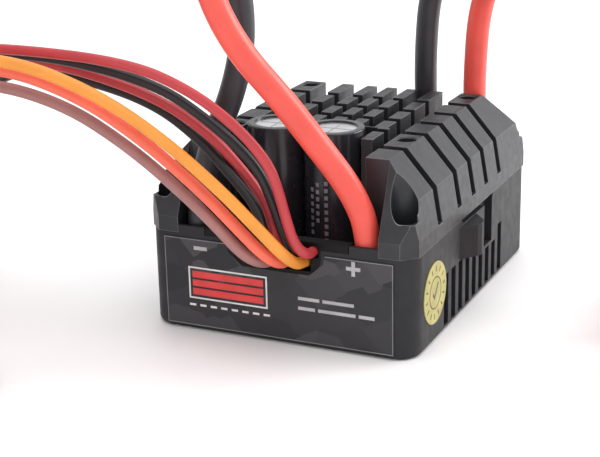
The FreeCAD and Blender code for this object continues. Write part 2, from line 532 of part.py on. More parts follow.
ROUTES = {
    "battery_wire_red": ("power_wire_diameter", [
        (11.7, -20.9, 5.6), (11.7, -20.9, 14.8), (10.1, -22.3, 20.6), (6.7, -24.7, 26.6),
        (3.0, -27.0, 32.7), (-0.7, -28.6, 37.5), (-3.0, -29.8, 42.1), (-4.1, -30.8, 46.5),
        (-7.0, -32.2, 52.6), (-13.2, -34.6, 57.8), (-22.6, -37.8, 60.4), (-33.4, -41.2, 58.6),
        (-43.6, -44.6, 53.0), (-52.6, -47.6, 44.6), (-59.6, -50.0, 34.8), (-64.6, -51.0, 25.2),
        (-67.6, -51.0, 15.7), (-69.6, -46.7, 8.3), (-70.0, -39.3, 4.0), (-70.0, -31.0, 4.0)]),
    "battery_wire_black": ("power_wire_diameter", [
        (-11.7, -20.9, 5.6), (-11.7, -20.9, 14.4), (-10.9, -21.3, 19.4), (-9.0, -21.2, 25.2),
        (-6.6, -20.5, 30.8), (-5.0, -20.1, 37.4), (-5.2, -20.6, 45.2), (-9.2, -22.0, 53.2),
        (-17.6, -24.6, 59.6), (-29.0, -28.4, 62.6), (-41.0, -32.8, 60.8), (-52.0, -37.6, 54.8),
        (-61.0, -42.4, 46.2), (-67.8, -46.8, 35.8), (-72.6, -49.8, 25.4), (-76.0, -50.4, 15.4),
        (-77.8, -46.0, 8.1), (-78.0, -38.7, 4.0), (-78.0, -31.0, 4.0)]),
    "motor_wire_black": ("power_wire_diameter", [
        (4.6, 18.3, 5.6), (4.6, 18.3, 17.4), (4.2, 18.4, 28.4), (4.9, 18.7, 38.8), (9.0, 18.9, 47.6),
        (17.0, 18.9, 53.2), (26.8, 18.4, 53.4), (35.4, 17.2, 48.2), (41.0, 15.2, 39.6),
        (43.6, 12.8, 29.8), (44.4, 10.6, 21.0), (44.6, 9.6, 13.4), (44.6, 5.6, 6.6), (44.6, -1.4, 2.6),
        (44.6, -8.6, 2.6)]),
    "motor_wire_red": ("power_wire_diameter", [
        (11.8, 18.3, 5.6), (11.8, 18.3, 17.0), (11.7, 18.1, 27.4), (12.6, 17.6, 37.2),
        (17.0, 15.2, 45.4), (24.6, 10.8, 49.0), (32.2, 5.0, 46.4), (36.8, -0.8, 39.2),
        (39.6, -5.6, 30.2), (40.4, -9.0, 21.4), (40.2, -10.9, 13.4), (40.2, -7.0, 6.5),
        (40.2, 0.0, 2.6), (40.2, 5.4, 2.6)]),
    "servo_wire_brown": ("servo_wire_diameter", [
        (-0.3, -17.6, 5.0), (-0.3, -17.6, 8.2), (-0.3, -19.8, 10.7), (-0.3, -22.8, 11.2),
        (-0.5, -25.6, 11.3), (-1.9, -28.0, 12.9), (-4.7, -29.2, 16.6), (-8.9, -29.4, 20.3),
        (-16.1, -29.8, 25.7), (-24.3, -30.8, 30.5), (-34.6, -32.0, 32.8), (-44.0, -33.2, 31.2),
        (-50.8, -36.4, 26.2), (-55.2, -41.0, 19.4), (-56.4, -46.4, 12.4), (-54.6, -50.0, 6.4),
        (-50.0, -52.3, 2.4), (-45.0, -52.84, 1.3), (-40.2, -52.84, 1.3)]),
    "servo_wire_red": ("servo_wire_diameter", [
        (1.7, -17.6, 5.0), (1.7, -17.6, 8.2), (1.7, -19.8, 10.7), (1.7, -22.8, 11.2),
        (1.6, -25.6, 11.5), (0.5, -28.0, 13.5), (-2.2, -29.3, 17.0), (-6.4, -29.9, 21.2),
        (-13.6, -30.8, 27.1), (-21.6, -32.0, 32.1), (-31.6, -33.4, 35.2), (-41.2, -34.8, 34.2),
        (-48.2, -37.6, 29.2), (-53.0, -41.6, 22.0), (-54.2, -46.0, 14.2), (-52.8, -48.6, 7.4),
        (-49.0, -50.0, 2.9), (-44.6, -50.3, 1.3), (-40.2, -50.3, 1.3)]),
    "servo_wire_orange": ("servo_wire_diameter", [
        (3.7, -17.6, 5.0), (3.7, -17.6, 8.2), (3.7, -19.8, 10.7), (3.7, -22.8, 11.2),
        (3.8, -25.5, 11.7), (3.2, -28.2, 13.9), (1.0, -29.8, 17.2), (-3.4, -30.8, 21.9),
        (-10.4, -31.8, 27.8), (-18.1, -33.2, 32.8), (-28.0, -34.8, 36.4), (-37.8, -36.4, 36.4),
        (-45.2, -38.4, 31.8), (-50.4, -41.4, 24.8), (-52.0, -44.8, 17.0), (-51.4, -46.5, 9.8),
        (-48.4, -47.5, 4.2), (-44.2, -47.76, 1.3), (-40.2, -47.76, 1.3)]),
    "fan_wire_red": ("thin_wire_diameter", [
        (1.9, -15.0, 5.0), (1.9, -15.0, 9.8), (1.9, -18.6, 12.5), (1.9, -22.6, 12.75),
        (1.9, -25.2, 12.9), (0.6, -25.2, 16.5), (-0.7, -24.6, 19.1), (-2.7, -24.9, 22.1),
        (-7.2, -25.9, 27.3), (-14.3, -26.6, 31.5), (-27.2, -26.2, 34.2), (-37.4, -24.8, 34.2),
        (-46.0, -22.0, 30.4), (-51.4, -18.4, 23.8), (-52.8, -15.0, 15.8), (-52.9, -13.4, 7.8),
        (-52.9, -15.0, 3.6), (-52.9, -18.6, 1.3), (-52.9, -22.6, 1.3)]),
    "fan_wire_black": ("thin_wire_diameter", [
        (0.4, -15.0, 5.0), (0.4, -15.0, 9.8), (0.4, -18.6, 12.5), (0.4, -22.6, 12.75),
        (0.2, -25.6, 12.9), (0.2, -26.9, 16.4), (-0.8, -26.8, 19.2), (-3.8, -26.3, 22.0),
        (-9.2, -25.2, 26.5), (-15.7, -25.2, 30.4), (-27.4, -24.6, 32.6), (-37.0, -22.8, 32.2),
        (-44.4, -20.4, 28.0), (-49.0, -17.2, 21.4), (-50.3, -14.6, 14.2), (-50.36, -13.4, 7.6),
        (-50.36, -15.0, 3.6), (-50.36, -18.6, 1.3), (-50.36, -22.6, 1.3)]),
    "switch_wire_red": ("thin_wire_diameter", [
        (5.0, -15.0, 5.0), (5.0, -15.0, 9.8), (5.0, -18.6, 12.5), (5.0, -22.6, 12.75),
        (5.2, -25.2, 12.9), (4.2, -26.6, 14.6), (3.3, -26.9, 17.9), (2.5, -27.1, 21.4),
        (1.4, -27.4, 24.7), (-2.2, -28.0, 28.9), (-7.5, -29.2, 33.1), (-15.4, -29.8, 36.0),
        (-31.6, -29.6, 36.6), (-42.0, -28.8, 35.8), (-51.0, -26.6, 31.4), (-57.4, -23.4, 24.6),
        (-60.8, -20.0, 16.8), (-61.4, -17.8, 9.6), (-61.5, -19.4, 5.4), (-61.5, -23.2, 3.0),
        (-61.5, -27.6, 3.0)]),
    "switch_wire_black": ("thin_wire_diameter", [
        (3.4, -15.0, 5.0), (3.4, -15.0, 9.8), (3.4, -18.6, 12.5), (3.4, -22.6, 12.75),
        (3.3, -25.3, 12.9), (2.4, -26.1, 16.1), (1.1, -26.0, 19.7), (-0.7, -26.4, 24.1),
        (-6.6, -26.9, 29.1), (-13.2, -28.0, 33.4), (-27.0, -28.0, 35.6), (-38.2, -27.2, 35.2),
        (-47.4, -25.4, 30.8), (-53.8, -22.6, 23.8), (-57.4, -19.6, 16.2), (-58.4, -17.8, 9.6),
        (-58.5, -19.4, 5.4), (-58.5, -23.2, 3.0), (-58.5, -27.6, 3.0)]),
}
ARC_SHARE = 0.45


def rounded_route(points):
    """Straight runs joined by tangent arcs, and the smallest arc radius."""
    corners = [Vector(*point) for point in points]
    edges = []
    smallest = 1e9
    leaving = corners[0]
    for before, corner, after in zip(corners, corners[1:], corners[2:]):
        incoming = (corner - before).normalize()
        outgoing = (after - corner).normalize()
        turn = incoming.getAngle(outgoing)
        setback = ARC_SHARE * min((corner - before).Length, (after - corner).Length)
        radius = setback / math.tan(turn / 2)
        smallest = min(smallest, radius)
        start = corner - incoming * setback
        end = corner + outgoing * setback
        inward = (outgoing - incoming).normalize()
        middle = corner + inward * (radius / math.cos(turn / 2) - radius)
        edges.append(Part.LineSegment(leaving, start).toShape())
        edges.append(Part.Arc(start, middle, end).toShape())
        leaving = end
    edges.append(Part.LineSegment(leaving, corners[-1]).toShape())
    return Part.Wire(edges), smallest


def make_lead(node, diameter_name, points):
    diameter = size(diameter_name)
    path, smallest = rounded_route(points)
    heading = Vector(*points[1]) - Vector(*points[0])
    section = Part.Wire([Part.makeCircle(diameter / 2, Vector(*points[0]), heading)])
    tube = path.makePipeShell([section], True, False)
    expected = math.pi * diameter ** 2 / 4 * path.Length
    if abs(tube.Volume / expected - 1) > 0.01:
        raise RuntimeError("%s has the wrong volume" % node)
    print("%-20s length %6.1f  least radius %5.1f = %4.1f d"
          % (node, path.Length, smallest, smallest / diameter))
    piece = doc.addObject("Part::Feature", node)
    piece.Shape = tube
    return keep(piece, node)


# ---- pieces on the leads -----------------------------------------------------
# Each plug is made with its leads entering along +X at its own origin, on the floor,
# then turned about Z and put where its leads end.

def put(piece, x, y, turn):
    piece.Placement = Placement(Vector(x, y, 0), Rotation(Vector(0, 0, 1), turn)).multiply(piece.Placement)
    return piece


def make_battery_plug(x, y, turn):
    """Two-blade plug: one blade lies flat and one stands on edge."""
    body = new_body("battery_plug_housing")
    pad(body, sketch(body, "YZ_Plane", 0, [rectangle(-8, 8, 0, 8)]), 6)
    pad(body, sketch(body, "YZ_Plane", 6, [rectangle(-7.2, 7.2, 0.6, 7.4)]), 8)
    round_edges(body, 0.5, lambda edge: abs(edge.Vertexes[0].X - edge.Vertexes[-1].X) > 5)
    seats = [rectangle(-4.5, -3.5, 1.2, 6.8), rectangle(1.2, 6.8, 3.5, 4.5)]
    pocket(body, sketch(body, "YZ_Plane", 14, seats), 6)
    put(body, x, y, turn)
    upright = box("blade_upright", 8, -4.5, 1.2, 9.5, 1, 5.6)
    flat = box("blade_flat", 8, 1.2, 3.5, 9.5, 5.6, 1)
    put(group("battery_plug_blades", [upright, flat]), x, y, turn)


def make_bullet(colour, x, y, turn):
    """Bullet connector: plated pin with a barrel, and a shrink sleeve round the barrel."""
    along = Vector(1, 0, 0)
    z = 2.6
    barrel = cylinder("barrel_" + colour, 0, 0, z, 2.2, 8, along)
    pin = cylinder("pin_" + colour, 8, 0, z, 1.75, 10, along)
    cage = cylinder("cage_" + colour, 10, 0, z, 2.0, 6, along)
    keep(put(fuse("bullet_" + colour, barrel, pin, cage), x, y, turn), "motor_bullet_" + colour)
    outer = cylinder("shrink_outer_" + colour, 0, 0, z, 2.6, 7.4, along)
    inner = cylinder("shrink_inner_" + colour, -1, 0, z, 2.2, 9, along)
    sleeve = put(cut("shrink_" + colour, outer, inner), x, y, turn)
    keep(sleeve, "motor_bullet_sleeve_" + colour)


def make_pin_plug(name, ways, x, y, turn):
    """Flat plug with sockets for pins at the standard pitch."""
    pitch = 2.54
    thick = 2.6
    body = new_body(name + "_plug_housing")
    half = pitch * ways / 2
    pad(body, sketch(body, "YZ_Plane", 0, [rectangle(-half, half, 0, thick)]), 14)
    middles = [pitch * (way - (ways - 1) / 2) for way in range(ways)]
    seats = [rectangle(middle - 0.5, middle + 0.5, 0.8, 1.8) for middle in middles]
    pocket(body, sketch(body, "YZ_Plane", 14, seats), 11)
    windows = [rectangle(4.4, 8, middle - 0.5, middle + 0.5) for middle in middles]
    pocket(body, sketch(body, "XY_Plane", thick, windows), 0.8)
    round_edges(body, 0.3, lambda edge: abs(edge.Vertexes[0].X - edge.Vertexes[-1].X) > 13.9)
    put(body, x, y, turn)
    contacts = [box("%s_contact_%d" % (name, number), 3, middle - 0.5, 0.8, 9.5, 1, 1)
                for number, middle in enumerate(middles)]
    put(group(name + "_plug_contacts", contacts), x, y, turn)


def make_switch(x, y, turn):
    """Slide switch: housing with a cavity, cover plate with ears, slider and two contacts."""
    length, half, height = 20, 5, 6
    middle = length / 2
    housing = new_body("switch_housing")
    pad(housing, sketch(housing, "XY_Plane", 0, [rectangle(0, length, -half, half)]), height)
    round_edges(housing, 0.6, is_upright)
    cavity = rectangle(3.8, length - 3.8, -3.4, 3.4)
    pocket(housing, sketch(housing, "XY_Plane", height, [cavity]), 4.8)
    cover = new_body("switch_cover")
    ears = 16.5
    pad(cover, sketch(cover, "XY_Plane", height, [rectangle(middle - ears, middle + ears, -3.5, 3.5)]), 1)
    round_edges(cover, 2.0, is_upright)
    window = rectangle(5.8, "11.2 + slider_travel", -2.1, 2.1)
    pocket(cover, sketch(cover, "XY_Plane", height + 1, [window]), 2)
    holes = [(middle + side * (ears - 2.6), 0, 1.0) for side in (-1, 1)]
    pocket(cover, sketch(cover, "XY_Plane", height + 1, circles=holes), 2)
    slider = new_body("switch_slider")
    pad(slider, sketch(slider, "XY_Plane", 4.2, [rectangle(4.6, 12.4, -3.0, 3.0)]), 1.5)
    pad(slider, sketch(slider, "XY_Plane", 5.7, [rectangle(6.0, 11.0, -1.9, 1.9)]), 3.9)
    ridges = [rectangle(6.6 + 1.1 * step, 7.1 + 1.1 * step, 9.2, 10) for step in range(4)]
    pocket(slider, sketch(slider, "XZ_Plane", 0, ridges), 5, both_ways=True)
    for body in (housing, cover, slider):
        put(body, x, y, turn)
    strips = [box("strip_%d" % number, 6, side, 1.2, 9, 1.6, 1.8)
              for number, side in enumerate((-2.6, 1.0))]
    put(group("switch_contacts", strips), x, y, turn)


# ---- build, test and write ---------------------------------------------------

def make_everything():
    make_lower_case()
    make_heat_sink()
    make_case_screws()
    make_wire_grommet()
    make_front_label()
    make_inspection_sticker()
    make_main_board()
    make_electronics()
    for side in ("left", "right"):
        make_capacitor(side)
    make_capacitor_leads()
    for node, (diameter_name, points) in ROUTES.items():
        make_lead(node, diameter_name, points)
    make_battery_plug(-74.0, -31.0, 90)
    make_bullet("black", 44.6, -8.6, -90)
    make_bullet("red", 40.2, 5.4, 90)
    make_pin_plug("servo", 3, -40.2, -50.3, 0)
    make_pin_plug("fan", 2, -51.63, -22.6, -90)
    make_switch(-60.0, -27.6, -90)
    doc.recompute()


def write_nodes():
    for item in doc.Objects:
        if "Invalid" in item.State or "Error" in item.State:
            raise RuntimeError("%s failed: %s" % (item.Label, item.State))
    os.makedirs("parts", exist_ok=True)
    for node, piece in NODES.items():
        shape = piece.Shape
        if shape.isNull() or not shape.isValid() or not shape.Solids:
            raise RuntimeError("%s has no valid shape" % node)
        shape.exportStep("parts/%s.step" % node)
        print("%-28s %d solids %9.1f mm3" % (node, len(shape.Solids), shape.Volume))


make_everything()
write_nodes()
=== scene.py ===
import math

import bmesh
import bpy
from mathutils import Matrix, Vector


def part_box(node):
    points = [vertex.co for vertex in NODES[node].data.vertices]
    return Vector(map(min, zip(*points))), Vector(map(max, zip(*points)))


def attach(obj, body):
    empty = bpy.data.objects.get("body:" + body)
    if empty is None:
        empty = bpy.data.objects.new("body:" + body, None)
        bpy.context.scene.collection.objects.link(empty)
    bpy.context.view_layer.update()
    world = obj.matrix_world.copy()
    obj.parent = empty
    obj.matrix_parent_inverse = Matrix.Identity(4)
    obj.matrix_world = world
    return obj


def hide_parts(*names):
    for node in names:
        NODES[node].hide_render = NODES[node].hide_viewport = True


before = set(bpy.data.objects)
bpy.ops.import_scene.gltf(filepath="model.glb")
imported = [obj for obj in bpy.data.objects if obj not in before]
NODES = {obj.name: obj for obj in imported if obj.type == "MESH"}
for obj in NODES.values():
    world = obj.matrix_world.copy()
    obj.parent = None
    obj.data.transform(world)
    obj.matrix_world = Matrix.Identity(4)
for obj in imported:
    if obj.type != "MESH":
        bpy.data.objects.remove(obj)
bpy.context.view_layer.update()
SCENE = bpy.context.scene
MM = 0.001
BODY = "controller"


# ---- camera ------------------------------------------------------------------
# Lens and sensor in millimetres; the near limit in metres.

CAMERA_PLACE = Vector((75.92, -177.86, 72.58)) * MM
CAMERA_YAW = math.radians(25.12)
CAMERA_PITCH = math.radians(18.47)
CAMERA_ROLL = math.radians(-1.29)
CAMERA_LENS = 88.9
CAMERA_SENSOR = 36.0
CAMERA_NEAR = 0.01


def make_camera():
    data = bpy.data.cameras.new("camera")
    data.lens = CAMERA_LENS
    data.sensor_width = CAMERA_SENSOR
    data.clip_start = CAMERA_NEAR
    data.dof.use_dof = False
    forward = Vector((-math.sin(CAMERA_YAW) * math.cos(CAMERA_PITCH),
                      math.cos(CAMERA_YAW) * math.cos(CAMERA_PITCH), -math.sin(CAMERA_PITCH)))
    level = Vector((math.cos(CAMERA_YAW), math.sin(CAMERA_YAW), 0.0))
    upward = level.cross(forward)
    right = level * math.cos(CAMERA_ROLL) + upward * math.sin(CAMERA_ROLL)
    up = right.cross(forward)
    turn = Matrix((right, up, -forward)).transposed()
    camera = bpy.data.objects.new("camera", data)
    camera.matrix_world = Matrix.Translation(CAMERA_PLACE) @ turn.to_4x4()
    SCENE.collection.objects.link(camera)
    SCENE.camera = camera


make_camera()


# ---- materials ---------------------------------------------------------------
# Grain sizes, depths and softened edges are in millimetres.

EDGE_SAMPLES = 6
NOISE_LOW, NOISE_HIGH = 0.3, 0.7
MOTTLE_DARK, MOTTLE_LIGHT = 0.35, 0.65
FLAT_COSINE, EDGE_COSINE = 0.998, 0.9
SILICONE_GLOW = 0.08
SILICONE_GLOW_REACH = (0.0009, 0.0004, 0.0003)


class Finish:
    """A node material with short helpers for what most surfaces share."""

    def __init__(self, name, colour, roughness, metallic=0.0):
        self.material = bpy.data.materials.new(name)
        self.material.use_nodes = True
        self.tree = self.material.node_tree
        self.shader = self.tree.nodes["Principled BSDF"]
        self.shader.inputs["Base Color"].default_value = (*colour, 1.0)
        self.shader.inputs["Roughness"].default_value = roughness
        self.shader.inputs["Metallic"].default_value = metallic
        self.material.diffuse_color = (*colour, 1.0)
        self.coordinates = None

    def node(self, kind, **values):
        made = self.tree.nodes.new(kind)
        for name, value in values.items():
            setattr(made, name, value)
        return made

    def link(self, source, target):
        self.tree.links.new(source, target)

    def place(self):
        """Object coordinates, in metres."""
        if self.coordinates is None:
            self.coordinates = self.node("ShaderNodeTexCoord").outputs["Object"]
        return self.coordinates

    def noise(self, grain, detail=3.0):
        """Noise whose features are about grain millimetres across."""
        mapping = self.node("ShaderNodeMapping")
        mapping.inputs["Scale"].default_value = [1 / (grain * MM)] * 3
        self.link(self.place(), mapping.inputs["Vector"])
        texture = self.node("ShaderNodeTexNoise")
        texture.inputs["Scale"].default_value = 1.0
        texture.inputs["Detail"].default_value = detail
        self.link(mapping.outputs["Vector"], texture.inputs["Vector"])
        return texture.outputs["Fac"]

    def ramp(self, source, stops):
        """Colours by value; each stop is (position, colour)."""
        made = self.node("ShaderNodeValToRGB")
        ends = made.color_ramp.elements
        for end, (position, colour) in zip(ends, (stops[0], stops[-1])):
            end.position = position
            end.color = (*colour, 1.0)
        for position, colour in stops[1:-1]:
            extra = ends.new(position)
            extra.color = (*colour, 1.0)
        self.link(source, made.inputs["Fac"])
        return made.outputs["Color"]

    def colour_from(self, output):
        self.link(output, self.shader.inputs["Base Color"])
        return self

    def mottle(self, colour, spread, grain):
        """Slight unevenness of the base colour."""
        dark = [part * (1 - spread) for part in colour]
        light = [min(1.0, part * (1 + spread)) for part in colour]
        stops = [(MOTTLE_DARK, dark), (MOTTLE_LIGHT, light)]
        return self.colour_from(self.ramp(self.noise(grain), stops))

    def uneven_gloss(self, low, high, grain):
        """Roughness that wanders between low and high."""
        span = self.node("ShaderNodeMapRange")
        span.inputs["From Min"].default_value = NOISE_LOW
        span.inputs["From Max"].default_value = NOISE_HIGH
        span.inputs["To Min"].default_value = low
        span.inputs["To Max"].default_value = high
        self.link(self.noise(grain, detail=4.0), span.inputs["Value"])
        self.link(span.outputs["Result"], self.shader.inputs["Roughness"])
        return self

    def grain(self, size, depth, soft_edge=0.0):
        """Surface grain of the given size and depth in millimetres, over softened edges."""
        bump = self.node("ShaderNodeBump")
        bump.inputs["Distance"].default_value = depth * MM
        bump.inputs["Strength"].default_value = 1.0
        self.link(self.noise(size, detail=5.0), bump.inputs["Height"])
        if soft_edge:
            edge = self.node("ShaderNodeBevel")
            edge.samples = EDGE_SAMPLES
            edge.inputs["Radius"].default_value = soft_edge * MM
            self.link(edge.outputs["Normal"], bump.inputs["Normal"])
        self.link(bump.outputs["Normal"], self.shader.inputs["Normal"])
        return self

    def painted_edge_highlight(self, colour, reach, amount):
        """Painted highlight: lighter colour along edges, within reach millimetres of them, standing in
        for the light that edges catch.
        """
        edge = self.node("ShaderNodeBevel")
        edge.samples = EDGE_SAMPLES
        edge.inputs["Radius"].default_value = reach * MM
        facing = self.node("ShaderNodeVectorMath", operation="DOT_PRODUCT")
        self.link(edge.outputs["Normal"], facing.inputs[0])
        self.link(self.node("ShaderNodeNewGeometry").outputs["Normal"], facing.inputs[1])
        near = self.node("ShaderNodeMapRange")
        near.inputs["From Min"].default_value = FLAT_COSINE
        near.inputs["From Max"].default_value = EDGE_COSINE
        near.inputs["To Max"].default_value = amount
        self.link(facing.outputs["Value"], near.inputs["Value"])
        blend = self.node("ShaderNodeMix", data_type="RGBA")
        factor, under, over = blend.inputs[0], blend.inputs[6], blend.inputs[7]
        self.link(near.outputs["Result"], factor)
        self.link(self.shader.inputs["Base Color"].links[0].from_socket, under)
        over.default_value = (*colour, 1.0)
        blended = blend.outputs[2]
        return self.colour_from(blended)

    def done(self):
        return self.material


def anodised():
    """Black anodised aluminium with machined edges, and a painted highlight along them."""
    colour = (0.04, 0.041, 0.045)
    finish = Finish("anodised_aluminium", colour, 0.42, 0.5)
    finish.mottle(colour, 0.08, 2.5)
    finish.uneven_gloss(0.36, 0.48, 1.2)
    # Painted highlight: a lighter colour along the edges stands in for the light they catch.
    finish.painted_edge_highlight((0.3, 0.3, 0.32), 0.14, 0.6)
    return finish.grain(0.2, 0.006, soft_edge=0.14).done()


def plastic(name, colour, roughness=0.5, grain=0.25, depth=0.012, edge=0.12, shine=0.5):
    """Moulded plastic, rubber, paper or ink."""
    finish = Finish(name, colour, roughness)
    finish.shader.inputs["Specular IOR Level"].default_value = shine
    finish.mottle(colour, 0.12, 3.0)
    finish.uneven_gloss(roughness - 0.06, roughness + 0.08, 1.8)
    return finish.grain(grain, depth, soft_edge=edge).done()


def metal(name, colour, roughness, metallic=1.0, grain=0.2, depth=0.006):
    finish = Finish(name, colour, roughness, metallic)
    finish.mottle(colour, 0.1, 2.5)
    finish.uneven_gloss(roughness - 0.05, roughness + 0.08, 1.2)
    return finish.grain(grain, depth, soft_edge=0.08).done()


def silicone(name, colour, roughness=0.38):
    """Soft lead insulation that lets a little light in."""
    finish = Finish(name, colour, roughness)
    finish.mottle(colour, 0.06, 5.0)
    finish.uneven_gloss(roughness - 0.05, roughness + 0.07, 2.4)
    finish.shader.inputs["Subsurface Weight"].default_value = SILICONE_GLOW
    finish.shader.inputs["Subsurface Radius"].default_value = SILICONE_GLOW_REACH
    finish.shader.inputs["Subsurface Scale"].default_value = 1.0
    return finish.grain(0.5, 0.01).done()


def label_film():
    """Printed film: flat angular patches of near-black greys."""
    finish = Finish("label_film", (0.05, 0.048, 0.052), 0.42)
    mapping = finish.node("ShaderNodeMapping")
    mapping.inputs["Scale"].default_value = (230.0, 230.0, 310.0)
    mapping.inputs["Rotation"].default_value = (0.0, 0.55, 0.0)
    finish.link(finish.place(), mapping.inputs["Vector"])
    cells = finish.node("ShaderNodeTexVoronoi", distance="CHEBYCHEV")
    cells.inputs["Scale"].default_value = 1.0
    cells.inputs["Randomness"].default_value = 0.9
    finish.link(mapping.outputs["Vector"], cells.inputs["Vector"])
    shade = finish.node("ShaderNodeSeparateColor")
    finish.link(cells.outputs["Color"], shade.inputs["Color"])
    greys = [(0.0, (0.024, 0.024, 0.027)), (0.4, (0.038, 0.037, 0.041)),
             (0.7, (0.05, 0.048, 0.053)), (1.0, (0.07, 0.067, 0.073))]
    finish.colour_from(finish.ramp(shade.outputs["Red"], greys))
    finish.shader.inputs["Specular IOR Level"].default_value = 0.25
    finish.uneven_gloss(0.36, 0.48, 2.0)
    return finish.grain(0.12, 0.003, soft_edge=0.05).done()


MATERIALS = {
    "case": plastic("case_plastic", (0.02, 0.02, 0.023), 0.5, depth=0.016, shine=0.3),
    "anodised": anodised(),
    "black_steel": metal("black_steel", (0.07, 0.07, 0.075), 0.35),
    "grommet": plastic("grommet_rubber", (0.007, 0.007, 0.008), 0.6, edge=0.15, shine=0.2),
    "label": label_film(),
    "board": plastic("board_mask", (0.02, 0.09, 0.045), 0.35),
    "epoxy": plastic("chip_epoxy", (0.025, 0.025, 0.027), 0.55),
    "chip_ceramic": plastic("chip_ceramic", (0.42, 0.3, 0.2), 0.4),
    "led": plastic("led_lens", (0.8, 0.25, 0.2), 0.2),
    "tin": metal("tin", (0.75, 0.75, 0.77), 0.3),
    "thermal": plastic("thermal_pad", (0.5, 0.55, 0.62), 0.7),
    "can_metal": metal("can_aluminium", (0.72, 0.72, 0.74), 0.28, grain=0.15, depth=0.004),
    "can_sleeve": plastic("can_sleeve", (0.022, 0.022, 0.027), 0.22, grain=1.2, depth=0.01, edge=0.1),
    "bung": plastic("can_bung", (0.03, 0.03, 0.03), 0.7),
    "silicone_red": silicone("silicone_red", (0.85, 0.095, 0.07)),
    "silicone_black": silicone("silicone_black", (0.026, 0.026, 0.032)),
    "pvc_brown": silicone("pvc_brown", (0.4, 0.185, 0.17)),
    "pvc_red": silicone("pvc_red", (0.95, 0.17, 0.1)),
    "pvc_orange": silicone("pvc_orange", (0.88, 0.33, 0.045)),
    "thin_red": silicone("thin_red", (0.54, 0.05, 0.06)),
    "thin_black": silicone("thin_black", (0.014, 0.014, 0.017)),
    "plug_red": plastic("plug_red", (0.5, 0.03, 0.025), 0.35),
    "plug_black": plastic("plug_black", (0.03, 0.03, 0.033), 0.5),
    "gold": metal("gold_plate", (0.93, 0.66, 0.28), 0.22),
    "shrink_black": plastic("shrink_black", (0.03, 0.03, 0.034), 0.42, grain=1.0),
    "shrink_red": plastic("shrink_red", (0.55, 0.04, 0.03), 0.42, grain=1.0),
    "cover_metal": metal("cover_metal", (0.06, 0.06, 0.065), 0.4, metallic=0.8),
    "slider": plastic("slider_plastic", (0.045, 0.045, 0.05), 0.45),
    "sticker": plastic("sticker_paper", (0.45, 0.41, 0.14), 0.45, depth=0.003),
    "print_white": plastic("print_white", (0.82, 0.81, 0.8), 0.45, depth=0.002),
    "print_grey": plastic("print_grey", (0.24, 0.24, 0.26), 0.45, depth=0.002),
    "print_red": plastic("print_red", (0.72, 0.045, 0.045), 0.42, depth=0.002),
    "print_pale": plastic("print_pale", (0.42, 0.41, 0.42), 0.45, depth=0.002),
    "print_brown": plastic("print_brown", (0.12, 0.09, 0.05), 0.5, depth=0.002),
    # Painted shade for the groove of the vent score on the capacitor tops.
    "vent_score_painted_shade": plastic("vent_score_painted_shade", (0.3, 0.3, 0.31), 0.5, depth=0.002),
}

CAD_FINISHES = {
    "lower_case": "case", "heat_sink": "anodised", "case_screws": "black_steel",
    "wire_grommet": "grommet", "front_label": "label", "inspection_sticker": "sticker",
    "main_board": "board", "mosfets": "epoxy", "thermal_pad": "thermal", "bec_regulators": "epoxy",
    "microcontroller": "epoxy", "chip_capacitors": "chip_ceramic", "status_led": "led",
    "solder_joints": "tin", "capacitor_can_left": "can_metal", "capacitor_can_right": "can_metal",
    "capacitor_sleeve_left": "can_sleeve", "capacitor_sleeve_right": "can_sleeve",
    "capacitor_bung_left": "bung", "capacitor_bung_right": "bung", "capacitor_leads": "tin",
    "battery_plug_housing": "plug_red", "battery_plug_blades": "gold",
    "motor_bullet_red": "gold", "motor_bullet_black": "gold",
    "motor_bullet_sleeve_red": "shrink_red", "motor_bullet_sleeve_black": "shrink_black",
    "servo_plug_housing": "plug_black", "servo_plug_contacts": "gold",
    "fan_plug_housing": "plug_black", "fan_plug_contacts": "gold",
    "switch_housing": "plug_black", "switch_cover": "cover_metal", "switch_slider": "slider",
    "switch_contacts": "gold",
}


ROUND_NODES = ["case_screws", "capacitor_can_left", "capacitor_can_right", "capacitor_sleeve_left",
               "capacitor_sleeve_right", "motor_bullet_red", "motor_bullet_black",
               "motor_bullet_sleeve_red", "motor_bullet_sleeve_black"]
CREASE = math.radians(32)


def paint_cad_nodes():
    for node, finish in CAD_FINISHES.items():
        mesh = NODES[node].data
        mesh.materials.clear()
        mesh.materials.append(MATERIALS[finish])
    for node in ROUND_NODES:
        mesh = NODES[node].data
        mesh.polygons.foreach_set("use_smooth", [True] * len(mesh.polygons))
        mesh.set_sharp_from_angle(angle=CREASE)


paint_cad_nodes()


# ---- leads -------------------------------------------------------------------

POWER, SERVO, THIN = 3.2, 1.5, 1.3
STEPS_ALONG, STEPS_AROUND = 10, 8
BATTERY_PLUG = ["battery_plug_housing", "battery_plug_blades"]
SERVO_PLUG = ["servo_plug_housing", "servo_plug_contacts"]
FAN_PLUG = ["fan_plug_housing", "fan_plug_contacts"]
SWITCH = ["switch_housing", "switch_cover", "switch_slider", "switch_contacts"]
